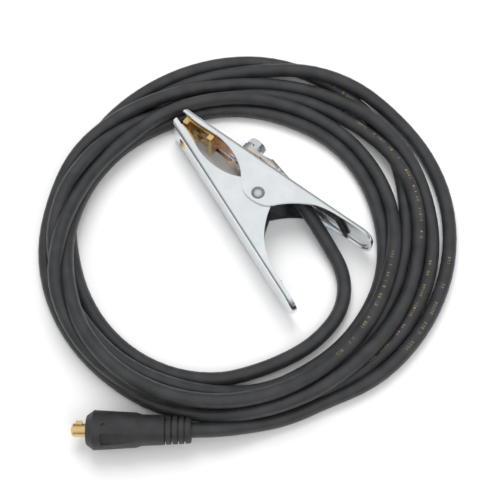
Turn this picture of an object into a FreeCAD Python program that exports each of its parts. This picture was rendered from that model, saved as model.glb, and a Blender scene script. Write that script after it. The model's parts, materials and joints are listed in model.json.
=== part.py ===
"""Ground clamp of a welding set, with its cable laid in a ring and the cable's plug.

Millimetres. The clamp lies on its side: the hinge axis is vertical (+Z), the jaws point
to -X and the handles to +X, and the fixed jaw's back faces +Y. The origin is under the
middle of the clamp itself, on the surface that it lies on. Everything is drawn about the
hinge axis and moved to PIVOT at the end.
"""
import FreeCAD, Part
import math
import os
from FreeCAD import Vector

# ---- where the hinge axis stands in the part's frame
PIVOT = Vector(0.1, 7.75, 0)

# ---- from the hinge to past the outermost face, for cuts that go right through
THROUGH_Y = (0, 40)

# ---- pressed jaws
SHEET = 1.8
FOLD_R = 3.0
BACK = 23.5
LOWER_DROP = 0.4
TIP = -83.0
TIP_R = 4.0
HANDLE_END = 84.5
NOSE_R = 11.0
END_WALL = 19.0
EAR = 20.0
UPPER_Z = (1.5, 29.5)
LOWER_Z = (3.6, 27.4)
MID_Z = 15.5
REST_ANGLE = -22.0
JAW_EDGE = [(-76.5, 19.0), (-62, 18.2), (-48.5, 18.4), (-38, 16.3), (-28, 12), (-19.5, 5.5),
            (-13, -2), (-7, -5.7), (0, -6.6), (7, -5.5), (13.5, -1.8)]
HANDLE_EDGE = [(13.5, -1.8), (22.4, 7.5), (31, 13.5), (40.6, 17.6), (52, 19.4), (66, 19.9),
               (80.5, 19.8)]

# ---- hinge
PIN_R = 3.0
PIN_PLAY = 0.05
PIN_HEAD_R = 4.8
PIN_HEAD_H = 2.6
PIN_TAIL_R = 4.5
PIN_TAIL_BEVEL = 0.4
SLEEVE_R = 4.5
SLEEVE_Z = (5.5, 25.5)

# ---- torsion spring
WIRE = 3.0
SPRING_R = 8.0
SPRING_PITCH = 3.3
SPRING_TURNS = 4
LEG_GAP = 0.2
LEG_BEND_X = 34.0
LEG_CROSS = (54.0, 63.5)
LEG_DROP = 16.0

# ---- copper strap and its slot
STRAP_T = 2.0
STRAP_W = 14.0
STRAP_END = -18.6
STRAP_FRONT = -79.0
JOGGLE = (-43.5, -36.5)
JOGGLE_R = 1.4
STRAP_SLOT = (-44.6, -35.0)
SLOT_PLAY = 0.5

# ---- bolt through strap and lug
BOLT_X = -27.5
BOLT_R = 4.0
BOLT_HOLE_R = 4.4
HEX_FLATS = 13.0
HEAD_H = 5.3
NUT_H = 6.5
CROWN_R = 0.95
CROWN_DEPTH = 0.86
SHANK_END = 13.5
PALM_T = 3.0
PALM_W = 16.0
PALM_END = -18.0
FLAT_T = 1.6
FLAT_R = 8.0
SPRUNG_T = 2.0
SPRUNG_R = 7.2
WASHER_PLAY = 0.2
SPLIT_W = 1.0
SPLIT_SLANT = 30.0

# ---- cable lug
BARREL_START = Vector(-12.0, 28.4, MID_Z)
BARREL_END = Vector(10.0, 22.6, MID_Z)
BARREL_R = 4.75
BARREL_BORE = 3.3
BARREL_STOP = 2.0
CORE_STOP = 3.0
NECK_INSET = 0.06
NECK_AT = 2.4
NECK_RISE = 0.6
NECK_HALF_W = 6.7
NECK_HALF_T = 2.45
PALM_CORNER = 0.35
NECK_CORNER = 0.6
DENTS = (10.5, 15.5, 20.0)
DENT_R = 2.4
DENT_DEPTH = 1.1
DENT_LENGTH = 12.0
CORE_DENT_GAP = 0.6
LUG_SLOT = (-15.0, 31.0)
LUG_SLOT_W = 12.0

# ---- contacts
BRACKET_X = (-79.0, -53.0)
BRACKET_Z = (4.5, 26.5)
BRACKET_T = 2.6
TOOTH_T = 4.0
TOOTH_Y = 13.4
TOOTH_EDGE_R = 0.8
RIVET_X = -66.0
RIVET_DZ = 4.8
RIVET_R = 1.9
RIVET_HEAD_R = 3.4
RIVET_HEAD_H = 1.4
SADDLE_S = (-78.0, -57.0)
SADDLE_Z = (6.7, 24.3)
SADDLE_T = 2.2
SADDLE_END = 17.6
SADDLE_TOP = 16.2
TUBE_RIVET_S = -67.7
TUBE_RIVET_R = 2.6
TUBE_RIVET_BORE = 1.7
TUBE_HEAD_R = 4.2
TUBE_HEAD_H = 1.4
TUBE_LIP_R = 3.8
TUBE_LIP_H = 0.6
TUBE_SINK = 0.05

# ---- cable
CABLE_R = 5.0
CORE_R = 3.2
RING = Vector(0, -17.5, 0)
LEAD = [(10.0, 22.6, 15.5), (17.6, 20.6, 15.5), (29, 16.5, 15), (43.5, 11.4, 12.3), (60.3, 4.9, 8),
        (75.6, -1.9, 5.5), (87.6, -14.1, 5), (94, -30.2, 5), (94, -47, 5), (91, -62.8, 5),
        (84.8, -78, 5), (74.8, -96, 5), (62.5, -112.3, 5)]
TAIL = [(121.2, -88.7, 5), (113.5, -103.8, 5), (103.6, -118.2, 5.4), (90.5, -133.4, 9),
        (77.6, -147.3, 13), (65.2, -156.8, 13)]

# ---- ring of cable: the space that its turns take up lies between two circles, shifted
# from the ring's middle
RING_HOLE_R = 100.0
RING_HOLE_SHIFT = Vector(0, -11, 0)
RING_R = 145.0
RING_SHIFT = Vector(4, -2, 0)
RING_H = 31.0
RING_BEVEL = 3.0

# ---- plug, measured along its axis from the cable's end
PLUG_REAR = Vector(65.2, -156.8, 13)
PLUG_DIR = Vector(-0.793, -0.609, 0)
SLEEVE_LENGTH = 68.0
SLEEVE_OUTLINE = [(0, 8.0), (1, 8.6), (19, 9.7), (32, 10.2), (36, 11.4), (50, 12.2), (63.4, 13.0),
                  (68, 9.6)]
RIBS = 4
RIB_START = 3.6
RIB_PITCH = 4.2
RIB_GROOVE = 1.2
RIB_CORE_R = 7.4
PANEL = (37.0, 58.0)
PANEL_W = 8.0
PANEL_R = 11.3
PANEL_ANGLE = 47.0
PLUG_BORE_R = 8.2
PLUG_BORE = (26.0, 61.0)
MOUTH_R = 7.2
BRASS_R = 8.0
BRASS = (28.0, 60.5)
PIN_OUT = 78.0
PLUG_PIN_R = 4.5
PIN_TIP_BEVEL = 1.2
FERRULE_R = 3.9
FERRULE = (30.0, 50.0)
CORE_HOLE_END = 52.0
SCREW_AT = (34.0, 44.0)
SCREW_R = 3.0
SCREW_SINK = 0.6
SOCKET_R = 1.4
SOCKET_DEPTH = 2.2
KEY = (71.2, 75.2)
KEY_W = 3.2
KEY_H = 1.6
KEY_ANGLE = 67.0
LOCK_PIN_AT = 56.0
LOCK_PIN_R = 1.5
LOCK_PIN_HALF = 11.5
BEYOND = 20.0


def box(x, y, z):
    return Part.makeBox(x[1] - x[0], y[1] - y[0], z[1] - z[0], Vector(x[0], y[0], z[0]))


def rod(points, radius):
    """Round bar through the points, with a ball at each bend."""
    solid = None
    for first, last in zip(points, points[1:]):
        run = last - first
        piece = Part.makeCylinder(radius, run.Length, first, run)
        solid = piece if solid is None else solid.fuse(piece)
    for bend in points[1:-1]:
        solid = solid.fuse(Part.makeSphere(radius, bend))
    return solid.removeSplitter()


def curve(points):
    spline = Part.BSplineCurve()
    spline.interpolate([Vector(x, y, 0) for x, y in points])
    return spline.toShape()


def polygon(points, z_low, z_high):
    corners = [Vector(x, y, z_low) for x, y in points]
    wire = Part.makePolygon(corners + corners[:1])
    return Part.Face(wire).extrude(Vector(0, 0, z_high - z_low))


def slot_y(x, width, y):
    """Round-ended slot along X that cuts through in Y."""
    r = width / 2
    body = box((x[0] + r, x[1] - r), y, (MID_Z - r, MID_Z + r))
    for end in (x[0] + r, x[1] - r):
        body = body.fuse(Part.makeCylinder(r, y[1] - y[0], Vector(end, y[0], MID_Z), Vector(0, 1, 0)))
    return body


def folded_block(x_end, back, z_low, z_high, fold_r, nose_r):
    """Block from past the tip to x_end, with a round nose in plan and a rounded back."""
    x_start = TIP - 2
    block = box((x_start, x_end), (-EAR, back), (z_low, z_high))
    corners = [e for e in block.Edges if e.CenterOfMass.x > x_end - 0.01 and e.BoundBox.YLength > EAR]
    block = block.makeFillet(nose_r, corners)
    rim = [e for e in block.Edges if e.BoundBox.YMin > back - 0.01 and e.CenterOfMass.x > x_start + 0.01]
    return block.makeFillet(fold_r, rim)


def side_outline(back, z_low, z_high):
    """Side view of a jaw, from tip to handle end, as a thick plate."""
    start = Vector(TIP, JAW_EDGE[0][1] + 0.3, 0)
    tip_low = Vector(TIP, back - TIP_R, 0)
    tip_top = Vector(TIP + TIP_R, back, 0)
    bulge = TIP_R * (1 - math.sqrt(0.5))
    past_end = HANDLE_END + 1
    edges = [
        Part.makeLine(start, tip_low),
        Part.Arc(tip_low, Vector(TIP + bulge, back - bulge, 0), tip_top).toShape(),
        Part.makeLine(tip_top, Vector(past_end, back, 0)),
        Part.makeLine(Vector(past_end, back, 0), Vector(past_end, END_WALL, 0)),
        Part.makeLine(Vector(past_end, END_WALL, 0), Vector(*HANDLE_EDGE[-1], 0)),
        curve(HANDLE_EDGE),
        curve(JAW_EDGE),
        Part.makeLine(Vector(*JAW_EDGE[0], 0), start)]
    face = Part.Face(Part.Wire(Part.__sortEdges__(edges)))
    face.translate(Vector(0, 0, z_low))
    return face.extrude(Vector(0, 0, z_high - z_low))


def pressing(z_range, back, pin_hole_r):
    """One pressed jaw and handle: a channel open towards -Y, closed at the handle's end."""
    z_low, z_high = z_range
    outer = folded_block(HANDLE_END, back, z_low, z_high, FOLD_R, NOSE_R)
    inner = folded_block(HANDLE_END - SHEET, back - SHEET, z_low + SHEET, z_high - SHEET,
                         FOLD_R - SHEET, NOSE_R - SHEET)
    shape = outer.cut(inner).common(side_outline(back, z_low, z_high))
    hole = Part.makeCylinder(pin_hole_r, z_high - z_low, Vector(0, 0, z_low))
    return shape.cut(hole)


def to_lower(shape):
    """From the upper jaw's place to the lower jaw's: mirrored, then turned to its rest angle."""
    shape = shape.mirror(Vector(0, 0, 0), Vector(0, 1, 0))
    shape.rotate(Vector(0, 0, 0), Vector(0, 0, 1), REST_ANGLE)
    return shape


def upper_jaw():
    shape = pressing(UPPER_Z, BACK, PIN_R)
    cut_y = (BACK - SHEET - 1, BACK + 1)
    half = STRAP_W / 2 + SLOT_PLAY
    shape = shape.cut(box(STRAP_SLOT, cut_y, (MID_Z - half, MID_Z + half)))
    shape = shape.cut(slot_y(LUG_SLOT, LUG_SLOT_W, cut_y))
    shape = shape.cut(y_cylinder(BOLT_X, MID_Z, BOLT_HOLE_R, cut_y))
    for side in (-1, 1):
        shape = shape.cut(y_cylinder(RIVET_X, MID_Z + side * RIVET_DZ, RIVET_R, cut_y))
    return shape


def lower_jaw():
    shape = pressing(LOWER_Z, BACK + LOWER_DROP, PIN_R + PIN_PLAY)
    cut_y = (BACK + LOWER_DROP - SHEET - 1, BACK + LOWER_DROP + 1)
    shape = shape.cut(y_cylinder(TUBE_RIVET_S, MID_Z, TUBE_RIVET_R, cut_y))
    return to_lower(shape)


def y_cylinder(x, z, radius, y):
    return Part.makeCylinder(radius, y[1] - y[0], Vector(x, y[0], z), Vector(0, 1, 0))


def dome(base, axis, base_r, height):
    """Cap of a ball that stands on its base circle."""
    ball_r = (base_r ** 2 + height ** 2) / (2 * height)
    ball = Part.makeSphere(ball_r, base + axis * (height - ball_r))
    return ball.common(Part.makeCylinder(base_r + 1, height + 1, base, axis))


def pivot_rivet():
    up = Vector(0, 0, 1)
    shank = Part.makeCylinder(PIN_R, UPPER_Z[1], Vector(0, 0, 0))
    tail = Part.makeCylinder(PIN_TAIL_R, UPPER_Z[0])
    rim = [edge for edge in tail.Edges if edge.BoundBox.ZMax < PIN_TAIL_BEVEL]
    tail = tail.makeChamfer(PIN_TAIL_BEVEL, rim)
    head = dome(Vector(0, 0, UPPER_Z[1]), up, PIN_HEAD_R, PIN_HEAD_H)
    return shank.fuse([tail, head]).removeSplitter()


def pivot_sleeve():
    height = SLEEVE_Z[1] - SLEEVE_Z[0]
    base = Vector(0, 0, SLEEVE_Z[0])
    outer = Part.makeCylinder(SLEEVE_R, height, base)
    return outer.cut(Part.makeCylinder(PIN_R + PIN_PLAY, height, base))


def tangent_angle(x, y):
    """Angle on the spring's circle from which a wire leaves towards the point."""
    return math.degrees(math.atan2(y, x) + math.acos(SPRING_R / math.hypot(x, y)))


def torsion_spring():
    leg_y = BACK - SHEET - WIRE / 2 - LEG_GAP
    upper_at = tangent_angle(LEG_BEND_X, leg_y)
    lower_at = 360 + REST_ANGLE - upper_at
    height = SPRING_PITCH * (SPRING_TURNS + (lower_at - upper_at) / 360)
    low = MID_Z - height / 2
    helix = Part.makeLongHelix(SPRING_PITCH, height, SPRING_R)
    start = Part.makeCircle(WIRE / 2, Vector(SPRING_R, 0, 0), Vector(0, 1, SPRING_PITCH / 50))
    coil = Part.Wire(helix).makePipeShell([Part.Wire(start)], True, True)
    coil.translate(Vector(0, 0, low))
    coil.rotate(Vector(0, 0, 0), Vector(0, 0, 1), upper_at)
    coil = coil.mirror(Vector(0, 0, MID_Z), Vector(0, 0, 1))
    upper = leg(upper_at, leg_y, MID_Z + height / 2)
    lower = leg(upper_at, leg_y + LOWER_DROP, MID_Z + height / 2)
    lower = lower.mirror(Vector(0, 0, MID_Z), Vector(0, 0, 1))
    return coil.fuse([upper, to_lower(lower)])


def leg(at, y, z):
    """Leg from the coil to the handle's back, along the back, then across it."""
    angle = math.radians(at)
    root = Vector(SPRING_R * math.cos(angle), SPRING_R * math.sin(angle), z)
    along = [Vector(LEG_BEND_X, y, z), Vector(LEG_CROSS[0], y, z), Vector(LEG_CROSS[1], y, z - LEG_DROP)]
    return rod([root] + along, WIRE / 2)


def copper_strap():
    inside = BACK - SHEET
    outside = BACK + STRAP_T
    slope = math.atan2(outside - inside, JOGGLE[1] - JOGGLE[0])
    shift = STRAP_T * math.tan(slope / 2)
    outline = [(STRAP_END, outside), (JOGGLE[1], outside), (JOGGLE[0], inside),
               (STRAP_FRONT, inside), (STRAP_FRONT, inside - STRAP_T),
               (JOGGLE[0] + shift, inside - STRAP_T), (JOGGLE[1] + shift, BACK), (STRAP_END, BACK)]
    shape = polygon(outline, MID_Z - STRAP_W / 2, MID_Z + STRAP_W / 2)
    shape = shape.makeFillet(JOGGLE_R, [edge for edge in shape.Edges if is_joggle(edge)])
    shape = shape.cut(y_cylinder(BOLT_X, MID_Z, BOLT_HOLE_R, THROUGH_Y))
    for side in (-1, 1):
        shape = shape.cut(y_cylinder(RIVET_X, MID_Z + side * RIVET_DZ, RIVET_R, THROUGH_Y))
    return shape


def is_joggle(edge):
    middle = edge.CenterOfMass
    upright = edge.BoundBox.ZLength > STRAP_W - 0.1
    return upright and JOGGLE[0] - 1 < middle.x < JOGGLE[1] + 1


def hexagon(y_low, y_high, crown_up):
    """Hexagonal prism round the bolt's axis, its corners turned down at one end."""
    across = HEX_FLATS / math.cos(math.radians(30))
    corners = []
    for step in range(6):
        angle = math.radians(60 * step)
        corners.append(Vector(BOLT_X + across / 2 * math.cos(angle), y_low,
                              MID_Z + across / 2 * math.sin(angle)))
    prism = Part.Face(Part.makePolygon(corners + corners[:1])).extrude(Vector(0, y_high - y_low, 0))
    depth = HEX_FLATS * CROWN_DEPTH
    ball_y = y_high - depth if crown_up else y_low + depth
    return prism.common(Part.makeSphere(HEX_FLATS * CROWN_R, Vector(BOLT_X, ball_y, MID_Z)))


def lug_bolt():
    base = BACK + STRAP_T + PALM_T + FLAT_T + SPRUNG_T
    shank = y_cylinder(BOLT_X, MID_Z, BOLT_R, (SHANK_END, base))
    return hexagon(base, base + HEAD_H, True).fuse(shank)


def flat_washer():
    y = (BACK + STRAP_T + PALM_T, BACK + STRAP_T + PALM_T + FLAT_T)
    return y_cylinder(BOLT_X, MID_Z, FLAT_R, y).cut(y_cylinder(BOLT_X, MID_Z, BOLT_R + WASHER_PLAY, y))


def spring_washer():
    """Split ring with a slanted cut."""
    low = BACK + STRAP_T + PALM_T + FLAT_T
    y = (low, low + SPRUNG_T)
    ring = y_cylinder(BOLT_X, MID_Z, SPRUNG_R, y).cut(y_cylinder(BOLT_X, MID_Z, BOLT_R + WASHER_PLAY, y))
    gap = box((-SPLIT_W / 2, SPLIT_W / 2), (low - 1, low + SPRUNG_T + 1), (0, SPRUNG_R + 2))
    gap.rotate(Vector(0, low + SPRUNG_T / 2, 0), Vector(0, 0, 1), SPLIT_SLANT)
    gap.translate(Vector(BOLT_X, 0, MID_Z))
    return ring.cut(gap)


def lug_nut():
    top = BACK - SHEET
    nut = hexagon(top - NUT_H, top, False)
    return nut.cut(y_cylinder(BOLT_X, MID_Z, BOLT_R, THROUGH_Y))


def flattened_ring(centre, direction, half_z, half_y, corner, count=24):
    """Closed outline across the lug: round at corner 1, nearly a rectangle at 0.3."""
    across = Vector(0, 0, 1)
    up = across.cross(direction)
    up.normalize()
    points = []
    for step in range(count):
        angle = 2 * math.pi * step / count
        c, s = math.cos(angle), math.sin(angle)
        z = half_z * math.copysign(abs(c) ** corner, c)
        y = half_y * math.copysign(abs(s) ** corner, s)
        points.append(centre + across * z + up * y)
    return Part.makePolygon(points + points[:1])


def cable_lug():
    palm_y = (BACK + STRAP_T, BACK + STRAP_T + PALM_T)
    half = PALM_W / 2
    palm = box((BOLT_X, PALM_END), palm_y, (MID_Z - half, MID_Z + half))
    palm = palm.fuse(y_cylinder(BOLT_X, MID_Z, half, palm_y)).removeSplitter()
    axis = BARREL_END - BARREL_START
    axis.normalize()
    middle_y = (palm_y[0] + palm_y[1]) / 2
    ahead = Vector(1, 0, 0)
    inset = NECK_INSET
    neck = Part.makeLoft([
        flattened_ring(Vector(PALM_END - 1, middle_y, MID_Z), ahead, half - inset,
                       PALM_T / 2 - inset, PALM_CORNER),
        flattened_ring(Vector(PALM_END + NECK_AT, middle_y + NECK_RISE, MID_Z), ahead, NECK_HALF_W,
                       NECK_HALF_T, NECK_CORNER),
        flattened_ring(BARREL_START + axis, axis, BARREL_R - inset, BARREL_R - inset, 1.0)], True, True)
    barrel = Part.makeCylinder(BARREL_R, (BARREL_END - BARREL_START).Length, BARREL_START, axis)
    shape = palm.fuse([neck, barrel])
    shape = shape.cut(y_cylinder(BOLT_X, MID_Z, BOLT_HOLE_R, THROUGH_Y))
    bore_start = BARREL_START + axis * BARREL_STOP
    bore_length = (BARREL_END - bore_start).Length + 1
    shape = shape.cut(Part.makeCylinder(BARREL_BORE, bore_length, bore_start, axis))
    for dent in dents(axis, DENT_R):
        shape = shape.cut(dent)
    return shape


def dents(axis, radius):
    """Round bars across the top of the barrel, which leave the crimping tool's marks."""
    height = BARREL_R - DENT_DEPTH + DENT_R
    bars = []
    for along in DENTS:
        middle = BARREL_START + axis * along + Vector(0, 0, height)
        low_end = middle - Vector(0, DENT_LENGTH / 2, 0)
        bars.append(Part.makeCylinder(radius, DENT_LENGTH, low_end, Vector(0, 1, 0)))
    return bars


def lug_conductor():
    axis = BARREL_END - BARREL_START
    length = axis.Length
    axis.normalize()
    core = Part.makeCylinder(CORE_R, length - CORE_STOP, BARREL_START + axis * CORE_STOP, axis)
    for dent in dents(axis, DENT_R + CORE_DENT_GAP):
        core = core.cut(dent)
    return core


def upper_contact():
    top = BACK - SHEET - STRAP_T
    x_low, x_high = BRACKET_X
    shape = box(BRACKET_X, (top - BRACKET_T, top), BRACKET_Z)
    for tooth in ((x_low, x_low + TOOTH_T), (x_high - TOOTH_T, x_high)):
        shape = shape.fuse(box(tooth, (TOOTH_Y, top), BRACKET_Z))
    shape = shape.removeSplitter()
    edges = [e for e in shape.Edges if abs(e.CenterOfMass.y - TOOTH_Y) < 0.01 and e.BoundBox.ZLength > 5]
    shape = shape.makeFillet(TOOTH_EDGE_R, edges)
    for side in (-1, 1):
        shape = shape.cut(y_cylinder(RIVET_X, MID_Z + side * RIVET_DZ, RIVET_R, THROUGH_Y))
    return shape


def upper_contact_rivets():
    under = BACK - SHEET - STRAP_T - BRACKET_T
    rivets = []
    for side in (-1, 1):
        z = MID_Z + side * RIVET_DZ
        shank = y_cylinder(RIVET_X, z, RIVET_R, (under, BACK))
        top = dome(Vector(RIVET_X, BACK, z), Vector(0, 1, 0), RIVET_HEAD_R, RIVET_HEAD_H)
        low = dome(Vector(RIVET_X, under, z), Vector(0, -1, 0), RIVET_HEAD_R, RIVET_HEAD_H)
        rivets.append(shank.fuse([top, low]).removeSplitter())
    return Part.makeCompound(rivets)


def arch(s_range, base, end, top, z_range):
    """Plate standing on the web, its top an arc."""
    middle = (s_range[0] + s_range[1]) / 2
    corners = [Vector(s_range[0], base, 0), Vector(s_range[0], end, 0), Vector(s_range[1], end, 0),
               Vector(s_range[1], base, 0)]
    edges = [Part.makeLine(corners[0], corners[1]),
             Part.Arc(corners[1], Vector(middle, top, 0), corners[2]).toShape(),
             Part.makeLine(corners[2], corners[3]),
             Part.makeLine(corners[3], corners[0])]
    face = Part.Face(Part.Wire(edges))
    face.translate(Vector(0, 0, z_range[0]))
    return face.extrude(Vector(0, 0, z_range[1] - z_range[0]))


def lower_contact():
    web = BACK + LOWER_DROP - SHEET
    shape = arch(SADDLE_S, web, SADDLE_END, SADDLE_TOP, SADDLE_Z)
    inside = (SADDLE_S[0] + SADDLE_T, SADDLE_S[1] - SADDLE_T)
    hollow = arch(inside, web, SADDLE_END + SADDLE_T, SADDLE_TOP + SADDLE_T, SADDLE_Z)
    shape = shape.cut(hollow)
    shape = shape.cut(y_cylinder(TUBE_RIVET_S, MID_Z, TUBE_RIVET_R, THROUGH_Y))
    return to_lower(shape)


def lower_contact_rivet():
    outside = BACK + LOWER_DROP
    inside = SADDLE_TOP - TUBE_SINK
    up = Vector(0, 1, 0)
    shank = y_cylinder(TUBE_RIVET_S, MID_Z, TUBE_RIVET_R, (inside, outside))
    head = dome(Vector(TUBE_RIVET_S, outside, MID_Z), up, TUBE_HEAD_R, TUBE_HEAD_H)
    lip = y_cylinder(TUBE_RIVET_S, MID_Z, TUBE_LIP_R, (inside - TUBE_LIP_H, inside))
    shape = shank.fuse([head, lip])
    return to_lower(shape.cut(y_cylinder(TUBE_RIVET_S, MID_Z, TUBE_RIVET_BORE, THROUGH_Y)).removeSplitter())


def cord_tube(name, route):
    """Cable through the route: straight runs joined by the largest tangent arcs."""
    points = [Vector(*p) for p in route]
    edges = []
    length = 0
    start = points[0]
    tightest = None
    for before, corner, after in zip(points, points[1:], points[2:]):
        back = before - corner
        ahead = after - corner
        turn = math.pi - back.getAngle(ahead)
        reach = 0.45 * min(back.Length, ahead.Length)
        radius = reach / math.tan(turn / 2)
        tightest = radius if tightest is None else min(radius, tightest)
        back.normalize()
        ahead.normalize()
        arc_in = corner + back * reach
        arc_out = corner + ahead * reach
        inward = (back + ahead).normalize()
        centre = corner + inward * (radius / math.cos(turn / 2))
        edges.append(Part.makeLine(start, arc_in))
        edges.append(Part.Arc(arc_in, centre - inward * radius, arc_out).toShape())
        length += (arc_in - start).Length + radius * turn
        start = arc_out
    edges.append(Part.makeLine(start, points[-1]))
    length += (points[-1] - start).Length
    circle = Part.makeCircle(CABLE_R, points[0], points[1] - points[0])
    solid = Part.Wire(edges).makePipeShell([Part.Wire(circle)], True, True)
    expected = math.pi * CABLE_R ** 2 * length
    print(f"{name}: length {length:.1f}, tightest arc {tightest:.1f}, "
          f"volume {solid.Volume:.0f} of {expected:.0f}")
    return solid


def cable_coil():
    """Closed ring round all the turns."""
    ring = Part.makeCylinder(RING_R, RING_H, RING + RING_SHIFT)
    ring = ring.cut(Part.makeCylinder(RING_HOLE_R, RING_H, RING + RING_HOLE_SHIFT))
    rims = [edge for edge in ring.Edges if edge.BoundBox.ZLength < RING_BEVEL]
    return ring.makeChamfer(RING_BEVEL, rims)


def turned(outline, bore=None):
    """Solid turned about the plug's axis; outline and bore are (along, radius) pairs."""
    points = [Vector(along, 0, radius) for along, radius in outline]
    ring = [Vector(outline[0][0], 0, 0)] + points + [Vector(outline[-1][0], 0, 0)]
    face = Part.Face(Part.makePolygon(ring + ring[:1]))
    solid = face.revolve(Vector(0, 0, 0), Vector(1, 0, 0), 360)
    if bore:
        solid = solid.cut(turned(bore))
    return solid


def on_plug(shape):
    """From the plug's own axis (+X) to where the plug lies."""
    shape = shape.copy()
    shape.Placement = FreeCAD.Placement(PLUG_REAR, FreeCAD.Rotation(Vector(1, 0, 0), PLUG_DIR))
    return shape


def along_plug(radius, x):
    return Part.makeCylinder(radius, x[1] - x[0], Vector(x[0], 0, 0), Vector(1, 0, 0))


def along_z(at, radius, low, high):
    return Part.makeCylinder(radius, high - low, Vector(at, 0, low))


def plug_sleeve():
    bore = [(-1, CABLE_R), (PLUG_BORE[0], CABLE_R), (PLUG_BORE[0], PLUG_BORE_R), (PLUG_BORE[1], PLUG_BORE_R),
            (PLUG_BORE[1], MOUTH_R), (SLEEVE_LENGTH + 1, MOUTH_R)]
    shape = turned(SLEEVE_OUTLINE, bore)
    for rib in range(RIBS):
        at = RIB_START + rib * RIB_PITCH
        groove = (at, at + RIB_GROOVE)
        shape = shape.cut(along_plug(BEYOND, groove).cut(along_plug(RIB_CORE_R, groove)))
    panel = box(PANEL, (PANEL_R, BEYOND), (-PANEL_W / 2, PANEL_W / 2))
    panel.rotate(Vector(0, 0, 0), Vector(1, 0, 0), PANEL_ANGLE)
    shape = shape.cut(panel)
    shape = shape.cut(along_z(LOCK_PIN_AT, LOCK_PIN_R, -BEYOND, BEYOND))
    return on_plug(shape)


def plug_contact():
    outline = [(BRASS[0], BRASS_R), (BRASS[1], BRASS_R), (BRASS[1], PLUG_PIN_R),
               (PIN_OUT - PIN_TIP_BEVEL, PLUG_PIN_R), (PIN_OUT, PLUG_PIN_R - PIN_TIP_BEVEL)]
    shape = turned(outline, [(BRASS[0] - 1, FERRULE_R), (CORE_HOLE_END, FERRULE_R)])
    key = box(KEY, (-KEY_W / 2, KEY_W / 2), (0, PLUG_PIN_R + KEY_H))
    key.rotate(Vector(0, 0, 0), Vector(1, 0, 0), KEY_ANGLE)
    shape = shape.fuse(key)
    for at in SCREW_AT:
        shape = shape.cut(along_z(at, SCREW_R, FERRULE_R - 1, BEYOND))
    return on_plug(shape.cut(along_z(LOCK_PIN_AT, LOCK_PIN_R, -BEYOND, BEYOND)))


def plug_set_screws():
    screws = []
    for at in SCREW_AT:
        screw = along_z(at, SCREW_R, FERRULE_R, BRASS_R - SCREW_SINK)
        screws.append(screw.cut(along_z(at, SOCKET_R, BRASS_R - SCREW_SINK - SOCKET_DEPTH, BEYOND)))
    return on_plug(Part.makeCompound(screws))


def plug_crimp_sleeve():
    outer = along_plug(FERRULE_R, FERRULE)
    return on_plug(outer.cut(along_plug(CORE_R, FERRULE)))


def plug_conductor():
    return on_plug(along_plug(CORE_R, (PLUG_BORE[0], FERRULE[1])))


def plug_jacket_end():
    """Last stretch of cable, inside the boot."""
    return on_plug(along_plug(CABLE_R, (0, PLUG_BORE[0])))


def plug_retaining_pin():
    return on_plug(along_z(LOCK_PIN_AT, LOCK_PIN_R, -LOCK_PIN_HALF, LOCK_PIN_HALF))


def cable_lead():
    return cord_tube("cable_lead", LEAD)


def cable_tail():
    return cord_tube("cable_tail", TAIL)


NODES = [upper_jaw, lower_jaw, pivot_rivet, pivot_sleeve, torsion_spring, upper_contact,
         upper_contact_rivets, lower_contact, lower_contact_rivet, copper_strap, lug_bolt, flat_washer,
         spring_washer, lug_nut, cable_lug, lug_conductor, cable_lead, cable_coil, cable_tail,
         plug_sleeve, plug_contact, plug_set_screws, plug_crimp_sleeve, plug_conductor,
         plug_jacket_end, plug_retaining_pin]

os.makedirs("parts", exist_ok=True)
for make in NODES:
    part = make()
    part.translate(PIVOT)
    limits = part.BoundBox
    print(f"{make.__name__}: solids {len(part.Solids)}, valid {part.isValid()}, "
          f"x {limits.XMin:.2f} {limits.XMax:.2f}, y {limits.YMin:.2f} {limits.YMax:.2f}, "
          f"z {limits.ZMin:.2f} {limits.ZMax:.2f}, volume {part.Volume:.0f}")
    part.exportStep(f"parts/{make.__name__}.step")
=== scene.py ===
"""Looks of the ground clamp: finishes for the CAD nodes, the coiled cable, the spring and the studio."""
import json
import math
import random

import bmesh
import bpy
import numpy as np
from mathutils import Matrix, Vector


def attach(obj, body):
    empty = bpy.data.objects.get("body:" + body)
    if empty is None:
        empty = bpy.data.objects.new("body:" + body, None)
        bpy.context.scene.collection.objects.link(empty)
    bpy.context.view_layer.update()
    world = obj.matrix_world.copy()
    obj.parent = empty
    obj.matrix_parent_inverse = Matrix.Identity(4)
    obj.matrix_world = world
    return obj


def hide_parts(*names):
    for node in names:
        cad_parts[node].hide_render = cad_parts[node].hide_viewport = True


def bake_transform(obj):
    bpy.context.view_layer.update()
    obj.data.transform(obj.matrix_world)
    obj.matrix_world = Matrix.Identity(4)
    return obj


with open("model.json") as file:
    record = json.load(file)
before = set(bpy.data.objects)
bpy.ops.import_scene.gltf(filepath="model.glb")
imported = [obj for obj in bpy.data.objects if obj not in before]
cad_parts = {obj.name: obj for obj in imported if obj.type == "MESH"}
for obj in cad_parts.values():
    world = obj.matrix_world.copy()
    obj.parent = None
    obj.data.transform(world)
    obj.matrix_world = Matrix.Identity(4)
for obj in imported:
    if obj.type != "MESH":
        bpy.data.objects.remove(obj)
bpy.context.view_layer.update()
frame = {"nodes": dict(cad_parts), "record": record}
nodes = frame["nodes"]

MM = 0.001
HINGE = Vector((0.1, 7.75, 0)) * MM
FIXED = "fixed_jaw"


def at(x, y, z):
    """Point given in millimetres from the hinge axis."""
    return Vector((x, y, z)) * MM + HINGE


def link(name, data):
    """New object in the scene."""
    obj = bpy.data.objects.new(name, data)
    bpy.context.scene.collection.objects.link(obj)
    return obj


def mesh_object(name, bm):
    """New object from mesh code."""
    data = bpy.data.meshes.new(name)
    bm.to_mesh(data)
    bm.free()
    return link(name, data)


def shade(obj, sharp_degrees):
    """Smooth shading, with an edge where faces turn by more than an angle."""
    obj.data.shade_smooth()
    obj.data.set_sharp_from_angle(angle=math.radians(sharp_degrees))


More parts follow.
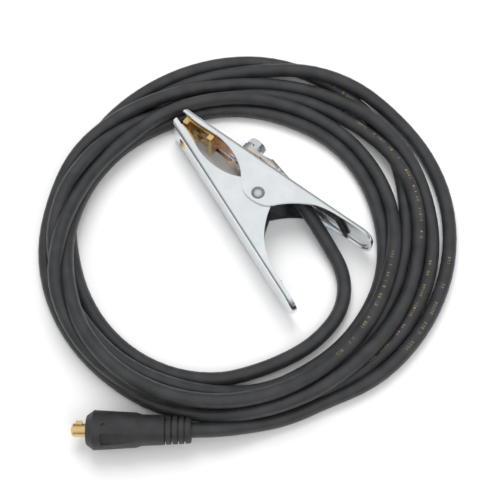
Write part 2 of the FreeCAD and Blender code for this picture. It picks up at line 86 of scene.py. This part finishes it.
def finish(obj, mat):
    """Give the whole object one material."""
    obj.data.materials.clear()
    obj.data.materials.append(mat)


# ---- camera
CAMERA_FROM = at(188.1, -254.4, 672)
CAMERA_TO = at(14.5, -28.1, 0)
LENS_MM = 73.6
SENSOR_MM = 36
NEAR_CLIP = 0.01


def make_camera():
    """Camera at the photograph's angle."""
    data = bpy.data.cameras.new("camera")
    data.lens = LENS_MM
    data.sensor_width = SENSOR_MM
    data.clip_start = NEAR_CLIP
    camera = link("camera", data)
    camera.location = CAMERA_FROM
    camera.rotation_euler = (CAMERA_TO - CAMERA_FROM).to_track_quat("-Z", "Y").to_euler()
    bpy.context.scene.camera = camera


make_camera()

# ---- cable: lead from the lug, loose turns, tail to the plug, in millimetres from the hinge axis
CABLE_D = 10.0
LEAD = [(10.0, 22.6, 15.5), (17.6, 20.6, 15.5), (29, 16.5, 15), (43.5, 11.4, 12.3), (60.3, 4.9, 8),
        (75.6, -1.9, 5.5), (87.6, -14.1, 5), (94, -30.2, 5), (94, -47, 5), (91, -62.8, 5),
        (84.8, -78, 5), (74.8, -96, 5)]
TAIL = [(121.2, -88.7, 5), (113.5, -103.8, 5), (103.6, -118.2, 5.4), (90.5, -133.4, 9),
        (77.6, -147.3, 13), (65.2, -156.8, 13)]
RING = (0, -17.5)
# the turns run clockwise in small steps, and every few steps there is a point of the spline
TURN_DEGREES = 5
STEPS = 360 // TURN_DEGREES
POINT_EVERY = 3
FIRST_ANGLE = 300
COIL_TURNS = 5.875
SETTLED_TURNS = 6
# row n is the shape at the middle of turn n, counted from 1; the first and the last row lie half a
# turn outside what settles. Each has: radius, shift along X, shift along Y, oval along X, oval along
# the diagonal
TURNS = [
    (120, -14, -10, 8, 10),
    (126, -3, 3, -4, -5),
    (119, 4, -21, -7, 1),
    (111, -1, -20, -3, 1),
    (123, 4, -12, -3, 4),
    (132, 4, -11, -2, 4),
    (133, 7, 5, 0, 5),
    (149, 6, -8, 0, 4)]
# the spline cuts inside its points by this share
SPLINE_CUT = 1.0045
# settling: the gap that strands keep, the sweeps, and what one sweep does
STRAND_GAP = 10.2
SWEEPS = 4000
SINK = 0.03
PUSH = 0.45
HOLD = 0.02
STIFF_FLAT = 0.10
STIFF_UP = 0.06
# before settling: how much lower each step starts, once past the steps that lie under the rest
DROP_PER_STEP = 0.06
UNDER_UNTIL = 48
UNDER_EASE = 36
NO_GAP = 1e-6
CABLE_CURVE_STEPS = 4
CABLE_ROUND_STEPS = 6


def smooth(values, place):
    """Smooth curve through the values, read at a place counted in values."""
    last = len(values) - 1
    index = min(int(place), last)
    t = place - index
    a, b, c, d = (values[max(0, min(last, index + shift))] for shift in (-1, 0, 1, 2))
    return b + 0.5 * t * (c - a + t * (2 * a - 5 * b + 4 * c - d + t * (3 * (b - c) + d - a)))


def turn_angle(step):
    """Direction of a step from the ring's middle."""
    return math.radians(FIRST_ANGLE - TURN_DEGREES * step)


def turn_radius(step):
    """Radius of the loose turn before it settles: a shifted oval that changes from turn to turn."""
    row = step / STEPS + 0.5
    size, east, north, oval, skew = (smooth(column, row) for column in zip(*TURNS))
    a = turn_angle(step)
    return (size + east * math.cos(a) + north * math.sin(a)
            + oval * math.cos(2 * a) + skew * math.sin(2 * a))


def stiffen(line, share):
    """Ease the bends out of a line, as the cable's own stiffness does."""
    bend = np.zeros(len(line))
    bend[1:-1] = line[:-2] + line[2:] - 2 * line[1:-1]
    spread = np.zeros(len(line))
    spread[1:-1] = bend[:-2] + bend[2:] - 2 * bend[1:-1]
    line -= share * spread


def settle(wanted):
    """Let the turns down on each other and the floor. The first turn's start lies under the others,
    and from there on each turn lies on the next."""
    r = wanted.copy()
    count = len(r)
    step = np.arange(count)
    over = np.clip((step - UNDER_UNTIL) / UNDER_EASE, 0, 1)
    z = CABLE_D / 2 + (count - step) * DROP_PER_STEP * over
    for sweep in range(SWEEPS):
        for apart in range(STEPS, count, STEPS):
            dr = r[apart:] - r[:-apart]
            dz = z[apart:] - z[:-apart]
            gap = np.hypot(dr, dz) + NO_GAP
            push = PUSH * np.clip(STRAND_GAP - gap, 0, None) / gap
            r[apart:] += push * dr
            r[:-apart] -= push * dr
            z[apart:] += push * dz
            z[:-apart] -= push * dz
        r += HOLD * (wanted - r)
        stiffen(r, STIFF_FLAT)
        stiffen(z, STIFF_UP)
        z = np.maximum(z - SINK, CABLE_D / 2)
        z[0] = CABLE_D / 2
        z[-1] = CABLE_D / 2
    return r, z


def coil_points():
    """Points of the settled turns. A little more settles than is used, to keep room for the tail."""
    r, z = settle(np.array([turn_radius(step) for step in range(SETTLED_TURNS * STEPS + 1)]))
    points = []
    for step in range(0, int(COIL_TURNS * STEPS) + 1, POINT_EVERY):
        a = turn_angle(step)
        reach = r[step] * SPLINE_CUT
        points.append((RING[0] + reach * math.cos(a), RING[1] + reach * math.sin(a), z[step]))
    return points


def make_cable():
    """The whole cable as one round NURBS curve."""
    route = LEAD + coil_points() + TAIL
    data = bpy.data.curves.new("cable", "CURVE")
    data.dimensions = "3D"
    spline = data.splines.new("NURBS")
    spline.points.add(len(route) - 1)
    for point, place in zip(spline.points, route):
        point.co = (*at(*place), 1)
    spline.order_u = 3
    spline.use_endpoint_u = True
    data.resolution_u = CABLE_CURVE_STEPS
    data.bevel_depth = CABLE_D / 2 * MM
    data.bevel_resolution = CABLE_ROUND_STEPS
    data.use_fill_caps = True
    return link("cable", data)


cable = make_cable()

# ---- materials: noise scales count per metre
METAL_CLOUD = 60
METAL_GLOSS = 140
METAL_GRAIN = 900
GRAIN_MM = 0.02
GRAIN_STRENGTH = 0.25
RUBBER_PORES = 2600
PORE_MM = 0.05
PORE_STRENGTH = 0.3


def material(name, color, metallic, roughness):
    """New material: returns it with its tree and its main shader."""
    mat = bpy.data.materials.new(name)
    mat.use_nodes = True
    tree = mat.node_tree
    shader = tree.nodes["Principled BSDF"]
    shader.inputs["Base Color"].default_value = (*color, 1)
    shader.inputs["Metallic"].default_value = metallic
    shader.inputs["Roughness"].default_value = roughness
    return mat, tree, shader


def add(tree, kind, **values):
    """Node of a kind with values in its sockets; an underline in a name stands for a space."""
    node = tree.nodes.new(kind)
    for key, value in values.items():
        node.inputs[key.replace("_", " ")].default_value = value
    return node


def noise(tree, scale, detail, stretch=(1, 1, 1)):
    """Noise over the object's own coordinates, which are metres."""
    place = add(tree, "ShaderNodeTexCoord")
    mapping = add(tree, "ShaderNodeMapping", Scale=[scale * part for part in stretch])
    grain = add(tree, "ShaderNodeTexNoise", Scale=1.0, Detail=detail)
    tree.links.new(place.outputs["Object"], mapping.inputs["Vector"])
    tree.links.new(mapping.outputs["Vector"], grain.inputs["Vector"])
    return grain.outputs["Fac"]


def ramp(tree, factor, low, high, start=0.35, end=0.65):
    """Blend of two colours by a factor."""
    node = add(tree, "ShaderNodeValToRGB")
    ends = node.color_ramp.elements
    ends[0].position = start
    ends[0].color = (*low, 1)
    ends[1].position = end
    ends[1].color = (*high, 1)
    tree.links.new(factor, node.inputs["Fac"])
    return node.outputs["Color"]


def level(tree, factor, low, high, start=0.3, end=0.7):
    """Number between low and high by a factor."""
    node = add(tree, "ShaderNodeMapRange", From_Min=start, From_Max=end, To_Min=low, To_Max=high)
    tree.links.new(factor, node.inputs["Value"])
    return node.outputs["Result"]


def bump(tree, shader, height, strength, distance_mm):
    """Fine relief of the surface."""
    node = add(tree, "ShaderNodeBump", Strength=strength, Distance=distance_mm * MM)
    tree.links.new(height, node.inputs["Height"])
    tree.links.new(node.outputs["Normal"], shader.inputs["Normal"])


def metal(name, light, dark, gloss_r, matt_r, stretch=(1, 1, 1), grain=METAL_GRAIN, grain_mm=GRAIN_MM):
    """Metal with cloudy colour, cloudy gloss and a fine grain."""
    mat, tree, shader = material(name, light, 1.0, gloss_r)
    cloud = noise(tree, METAL_CLOUD, 4)
    tree.links.new(ramp(tree, cloud, dark, light), shader.inputs["Base Color"])
    gloss = noise(tree, METAL_GLOSS, 5)
    tree.links.new(level(tree, gloss, gloss_r, matt_r), shader.inputs["Roughness"])
    bump(tree, shader, noise(tree, grain, 3, stretch), GRAIN_STRENGTH, grain_mm)
    return mat


def rubber(name, light, dark, gloss_r, matt_r, scale):
    """Satin rubber with cloudy colour, cloudy gloss and fine pores."""
    mat, tree, shader = material(name, light, 0.0, gloss_r)
    tree.links.new(ramp(tree, noise(tree, scale, 6), dark, light), shader.inputs["Base Color"])
    gloss = noise(tree, scale * 2, 4)
    tree.links.new(level(tree, gloss, gloss_r, matt_r), shader.inputs["Roughness"])
    bump(tree, shader, noise(tree, RUBBER_PORES, 4), PORE_STRENGTH, PORE_MM)
    return mat


# light colour, dark colour, least and most roughness; zinc plate has its own grain, drawn out along X
METALS = {
    "zinc_plate": ((0.84, 0.87, 0.89), (0.76, 0.80, 0.825), 0.16, 0.27, (0.06, 1, 1), 1500, 0.010),
    "polished_steel": ((0.74, 0.75, 0.76), (0.60, 0.61, 0.63), 0.12, 0.24),
    "spring_steel": ((0.10, 0.10, 0.105), (0.055, 0.055, 0.06), 0.30, 0.46),
    "brass": ((0.80, 0.58, 0.27), (0.62, 0.40, 0.16), 0.20, 0.38),
    "copper": ((0.86, 0.52, 0.34), (0.70, 0.36, 0.20), 0.22, 0.40),
    "tinned_copper": ((0.76, 0.74, 0.69), (0.60, 0.57, 0.51), 0.30, 0.48),
    "zinc_fastener": ((0.68, 0.70, 0.73), (0.54, 0.56, 0.60), 0.18, 0.34)}
# light colour, dark colour, least and most roughness, scale of the clouds
RUBBERS = {
    "cable_rubber": ((0.036, 0.037, 0.039), (0.022, 0.023, 0.0245), 0.40, 0.54, 90),
    "plug_rubber": ((0.030, 0.030, 0.032), (0.019, 0.0195, 0.021), 0.42, 0.60, 130)}
MARK_INK = ((0.26, 0.235, 0.11), (0.09, 0.083, 0.045), 0.45, 0.6, 400)

FINISH = {name: metal(name, *look) for name, look in METALS.items()}
FINISH.update({name: rubber(name, *look) for name, look in RUBBERS.items()})

# ---- finishes of the CAD nodes; the plug's pin is dark, because the photograph shows no bright one
SLOT_OF = {row["node"]: row["material_slot"] for row in frame["record"]["subparts"]}
SLOT_OF["plug_retaining_pin"] = "spring_steel"
NODE_SHARP_DEGREES = 25

for name, node in nodes.items():
    finish(node, FINISH[SLOT_OF[name]])
    shade(node, NODE_SHARP_DEGREES)

# ---- the cable in place of its CAD solids
finish(cable, FINISH["cable_rubber"])
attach(cable, FIXED)
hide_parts("cable_lead", "cable_coil", "cable_tail", "plug_jacket_end")

# ---- worn dashes of pale ink along the cable's upper side, in groups, with no lettering
# each stretch: turn, angle where it starts, degrees that it spans, how far it leans over in radians
MARK_STRETCHES = [
    (1, 125, 38, 0.35),
    (4, 78, 50, -0.2),
    (2, 25, 45, 0.1),
    (3, 335, 34, -0.45),
    (5, 20, 40, 0.3),
    (6, 20, 30, 0.0)]
# millimetres, but for the half width, which is in radians round the cable
MARK_EVERY = 2.1
MARK_LENGTH = (0.5, 1.5)
MARK_HALF_W = 0.19
MARK_OUT = 0.04
MARK_IN = 0.3
# the share of places that have a dash, and the wider gap after each group of places
MARK_SHARE = 0.72
GROUP = 6
GROUP_GAP = 3
MARK_SEED = 4
MARK_SHARP_DEGREES = 35
LINE_STEPS = 12


def cable_line():
    """Points read from the cable's own spline, in metres."""
    bare = cable.copy()
    bare.data = cable.data.copy()
    bare.data.bevel_depth = 0
    bare.data.resolution_u = LINE_STEPS
    bpy.context.scene.collection.objects.link(bare)
    bpy.context.view_layer.update()
    mesh = bpy.data.meshes.new_from_object(bare.evaluated_get(bpy.context.evaluated_depsgraph_get()))
    points = [vertex.co.copy() for vertex in mesh.vertices]
    bpy.data.meshes.remove(mesh)
    curve = bare.data
    bpy.data.objects.remove(bare)
    bpy.data.curves.remove(curve)
    return points


def line_index(points, turn, degrees):
    """Place on the line where a turn passes an angle."""
    step = (turn - 1) * STEPS + (FIRST_ANGLE - degrees) % 360 / TURN_DEGREES
    share = (len(LEAD) + step / POINT_EVERY) / (len(cable.data.splines[0].points) - 1)
    return int(share * (len(points) - 1))


def add_mark(bm, centre, along, tilt, length):
    """Thin block sunk in the cable's skin."""
    up = (Vector((0, 0, 1)) - along * along.z).normalized()
    side = along.cross(up)
    rings = []
    for reach in (-length / 2, length / 2):
        ring = []
        for angle, out in ((-MARK_HALF_W, MARK_OUT), (MARK_HALF_W, MARK_OUT),
                           (MARK_HALF_W, -MARK_IN), (-MARK_HALF_W, -MARK_IN)):
            radius = (CABLE_D / 2 + out) * MM
            around = up * math.cos(tilt + angle) + side * math.sin(tilt + angle)
            ring.append(bm.verts.new(centre + along * reach * MM + around * radius))
        rings.append(ring)
    first, last = rings
    bm.faces.new(first[::-1])
    bm.faces.new(last)
    for k in range(4):
        n = (k + 1) % 4
        bm.faces.new((first[k], first[n], last[n], last[k]))


def make_marks():
    """All dashes as one piece."""
    draw = random.Random(MARK_SEED)
    points = cable_line()
    bm = bmesh.new()
    for turn, degrees, span, tilt in MARK_STRETCHES:
        start = line_index(points, turn, degrees)
        stop = start + int(span / TURN_DEGREES / POINT_EVERY * LINE_STEPS)
        walked = 0.0
        wanted = 0.0
        count = 0
        for here, there in zip(points[start:stop], points[start + 1:stop + 1]):
            run = (there - here).length / MM
            while wanted < walked + run:
                share = (wanted - walked) / run
                centre = here.lerp(there, share)
                if draw.random() < MARK_SHARE:
                    add_mark(bm, centre, (there - here).normalized(), tilt, draw.uniform(*MARK_LENGTH))
                count += 1
                wanted += MARK_EVERY if count % GROUP else MARK_EVERY * GROUP_GAP
            walked += run
    bmesh.ops.recalc_face_normals(bm, faces=bm.faces)
    marks = mesh_object("cable_marks", bm)
    shade(marks, MARK_SHARP_DEGREES)
    finish(marks, rubber("mark_ink", *MARK_INK))
    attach(marks, FIXED)
    return marks


PLUG_NODES = ["plug_sleeve", "plug_contact", "plug_set_screws", "plug_crimp_sleeve",
              "plug_conductor", "plug_retaining_pin"]
[make_marks()] + [nodes[name] for name in PLUG_NODES]


def make_spring():
    """Copy of the CAD spring in spring steel, which takes the place of the CAD one."""
    data = nodes["torsion_spring"].data.copy()
    data.name = "spring"
    spring = link("spring", data)
    finish(spring, FINISH["spring_steel"])
    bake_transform(spring)
    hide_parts("torsion_spring")


make_spring()

# ---- studio, in metres and watts
FLOOR_HALF = 3.0
FLOOR_CELLS = 8
PAPER = (0.90, 0.90, 0.905)
PAPER_DARK = (0.885, 0.888, 0.895)
PAPER_LIGHT = (0.91, 0.91, 0.91)
PAPER_ROUGHNESS = 0.8
PAPER_CLOUD = 8
KEY_PLACE = (-0.5, 0.5, 1.1)
KEY_SIZE = 0.9
KEY_W = 10
FILL_PLACE = (0.9, -0.4, 0.9)
FILL_SIZE = 1.2
FILL_W = 5
# the sky is bright above and dark near the horizon, with a pale band at the horizon itself
ZENITH = (1.0, 1.0, 1.0)
HORIZON = (0.045, 0.05, 0.055)
SKY_RISE = (0.12, 0.88)
BAND = (0.80, 0.81, 0.82, 1)
BAND_TOP = 0.05
SKY_STRENGTH = 0.96


def make_floor():
    """Pale paper under the object."""
    bm = bmesh.new()
    bmesh.ops.create_grid(bm, x_segments=FLOOR_CELLS, y_segments=FLOOR_CELLS, size=FLOOR_HALF)
    floor = mesh_object("floor", bm)
    mat, tree, shader = material("paper", PAPER, 0.0, PAPER_ROUGHNESS)
    cloud = noise(tree, PAPER_CLOUD, 2)
    tree.links.new(ramp(tree, cloud, PAPER_DARK, PAPER_LIGHT), shader.inputs["Base Color"])
    finish(floor, mat)


def area_light(name, place, size, power):
    """Soft lamp aimed at the origin, not seen in reflections."""
    data = bpy.data.lights.new(name, "AREA")
    data.shape = "DISK"
    data.size = size
    data.energy = power
    lamp = link(name, data)
    lamp.location = place
    lamp.rotation_euler = (-Vector(place)).to_track_quat("-Z", "Y").to_euler()
    lamp.visible_glossy = False


def make_light():
    """Sky and two lamps."""
    world = bpy.data.worlds.new("studio")
    bpy.context.scene.world = world
    world.use_nodes = True
    tree = world.node_tree
    background = tree.nodes["Background"]
    background.inputs["Strength"].default_value = SKY_STRENGTH
    place = add(tree, "ShaderNodeTexCoord")
    split = add(tree, "ShaderNodeSeparateXYZ")
    tree.links.new(place.outputs["Generated"], split.inputs["Vector"])
    sky = ramp(tree, split.outputs["Z"], HORIZON, ZENITH, *SKY_RISE)
    sky.node.color_ramp.elements.new(BAND_TOP).color = BAND
    tree.links.new(sky, background.inputs["Color"])
    area_light("key", KEY_PLACE, KEY_SIZE, KEY_W)
    area_light("fill", FILL_PLACE, FILL_SIZE, FILL_W)
    bpy.context.scene.view_settings.view_transform = "Standard"


make_floor()
make_light()
